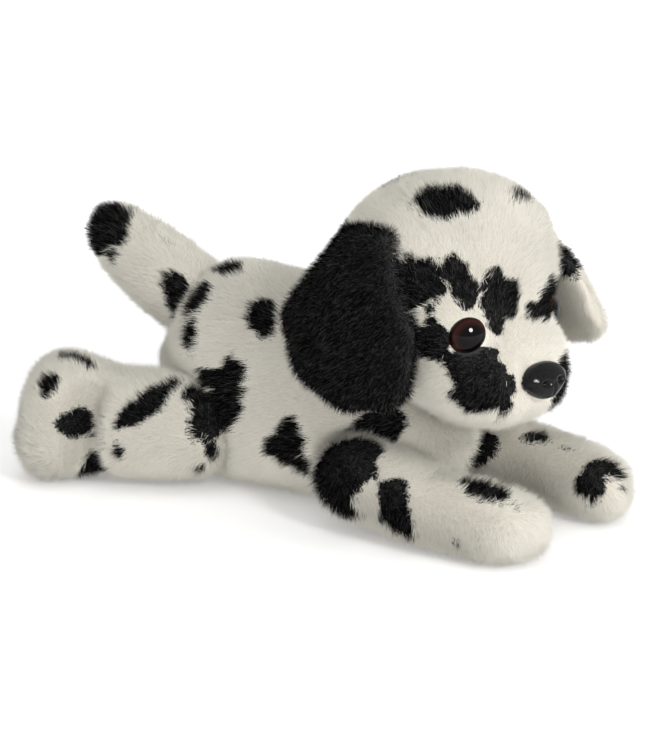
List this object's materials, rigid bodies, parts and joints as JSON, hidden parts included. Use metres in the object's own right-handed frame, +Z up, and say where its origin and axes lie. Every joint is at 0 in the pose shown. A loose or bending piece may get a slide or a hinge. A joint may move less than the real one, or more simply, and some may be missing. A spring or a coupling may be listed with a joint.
{
  "type": "plush dog",
  "caption": "Floppy plush dog lying on its belly: jointed head, hanging ears, upturned tail, forward front legs and hind legs stretched back.",
  "frame": {"origin": "on the floor under the middle of the bounding box", "axes": "+X towards the nose, +Y towards the dog's left, +Z up"},
  "size_m": [0.2923, 0.1792, 0.161],
  "materials": {
    "white_pile": "cut pile, white with black spots",
    "black_pile": "short black pile",
    "stuffing": "polyester fibre",
    "pellet_bag_cloth": "thin cloth bag of plastic pellets",
    "eye_brown": "gloss",
    "black_plastic": "gloss",
    "washer_plastic": "satin"
  },
  "bodies": {
    "torso": {"torso_left_panel": "white_pile", "torso_right_panel": "white_pile", "belly_panel": "white_pile", "torso_fill": "stuffing", "belly_pellet_bag": "pellet_bag_cloth"},
    "neck": {"neck_fill": "stuffing"},
    "head": {"forehead_panel": "white_pile", "left_cheek_panel": "white_pile", "right_cheek_panel": "white_pile", "muzzle_panel": "white_pile", "chin_panel": "white_pile", "head_fill": "stuffing", "left_eye_dome": "eye_brown", "left_eye_post": "black_plastic", "right_eye_dome": "eye_brown", "right_eye_post": "black_plastic", "eye_washers": "washer_plastic", "nose": "black_plastic", "nose_washer": "washer_plastic"},
    "left_ear": {"left_ear_outer": "white_pile", "left_ear_lining": "white_pile"},
    "right_ear": {"right_ear_outer": "black_pile", "right_ear_lining": "black_pile"},
    "tail_root": {"tail_root_fill": "stuffing"},
    "tail": {"tail_left_panel": "white_pile", "tail_right_panel": "white_pile", "tail_fill": "stuffing"},
    "front_left_shoulder": {"front_left_shoulder_fill": "stuffing"},
    "front_left_leg": {"front_left_leg_cover": "white_pile", "front_left_leg_sole": "white_pile", "front_left_leg_fill": "stuffing", "front_left_paw_pellets": "pellet_bag_cloth"},
    "hind_left_hip": {"hind_left_hip_fill": "stuffing"},
    "hind_left_leg": {"hind_left_leg_cover": "white_pile", "hind_left_foot_sole": "white_pile", "hind_left_leg_fill": "stuffing", "hind_left_foot_pellets": "pellet_bag_cloth"},
    "front_right_shoulder": {"front_right_shoulder_fill": "stuffing"},
    "front_right_leg": {"front_right_leg_cover": "white_pile", "front_right_leg_sole": "white_pile", "front_right_leg_fill": "stuffing", "front_right_paw_pellets": "pellet_bag_cloth"},
    "hind_right_hip": {"hind_right_hip_fill": "stuffing"},
    "hind_right_leg": {"hind_right_leg_cover": "white_pile", "hind_right_foot_sole": "white_pile", "hind_right_leg_fill": "stuffing", "hind_right_foot_pellets": "pellet_bag_cloth"}
  },
  "joints": [
    {"name": "head_turn", "type": "hinge", "parent": "torso", "child": "neck", "pos_m": [0.051, 0, 0.098], "axis": [0, 0, 1], "range_deg": [-12, 12], "stiffness_Nm_per_rad": 0.5},
    {"name": "head_nod", "type": "hinge", "parent": "neck", "child": "head", "pos_m": [0.051, 0, 0.098], "axis": [0.1564, 0.9877, 0], "range_deg": [-10, 8], "stiffness_Nm_per_rad": 0.8},
    {"name": "left_ear_lift", "type": "hinge", "parent": "head", "child": "left_ear", "pos_m": [0.06287, 0.03659, 0.143], "axis": [0.9336, -0.3584, 0], "range_deg": [0, 50]},
    {"name": "right_ear_lift", "type": "hinge", "parent": "head", "child": "right_ear", "pos_m": [0.05098, -0.03847, 0.143], "axis": [-0.9986, -0.0523, 0], "range_deg": [0, 75]},
    {"name": "tail_wag", "type": "hinge", "parent": "torso", "child": "tail_root", "pos_m": [-0.077, 0, 0.08], "axis": [0, 0, 1], "range_deg": [-25, 25], "stiffness_Nm_per_rad": 0.2},
    {"name": "tail_lift", "type": "hinge", "parent": "tail_root", "child": "tail", "pos_m": [-0.077, 0, 0.08], "axis": [0, 1, 0], "range_deg": [-25, 20], "stiffness_Nm_per_rad": 0.3},
    {"name": "front_left_spread", "type": "hinge", "parent": "torso", "child": "front_left_shoulder", "pos_m": [0.041, 0.04, 0.026], "axis": [0, 0, 1], "range_deg": [-5, 15]},
    {"name": "front_left_lift", "type": "hinge", "parent": "front_left_shoulder", "child": "front_left_leg", "pos_m": [0.041, 0.04, 0.026], "axis": [0, -1, 0], "range_deg": [0, 12]},
    {"name": "hind_left_spread", "type": "hinge", "parent": "torso", "child": "hind_left_hip", "pos_m": [-0.057, 0.034, 0.03], "axis": [0, 0, -1], "range_deg": [-8, 15]},
    {"name": "hind_left_lift", "type": "hinge", "parent": "hind_left_hip", "child": "hind_left_leg", "pos_m": [-0.057, 0.034, 0.03], "axis": [0, 1, 0], "range_deg": [0, 30]},
    {"name": "front_right_spread", "type": "hinge", "parent": "torso", "child": "front_right_shoulder", "pos_m": [0.041, -0.04, 0.026], "axis": [0, 0, -1], "range_deg": [-5, 15]},
    {"name": "front_right_lift", "type": "hinge", "parent": "front_right_shoulder", "child": "front_right_leg", "pos_m": [0.041, -0.04, 0.026], "axis": [0, -1, 0], "range_deg": [0, 12]},
    {"name": "hind_right_spread", "type": "hinge", "parent": "torso", "child": "hind_right_hip", "pos_m": [-0.057, -0.034, 0.03], "axis": [0, 0, 1], "range_deg": [-8, 15]},
    {"name": "hind_right_lift", "type": "hinge", "parent": "hind_right_hip", "child": "hind_right_leg", "pos_m": [-0.057, -0.034, 0.03], "axis": [0, 1, 0], "range_deg": [0, 30]}
  ]
}
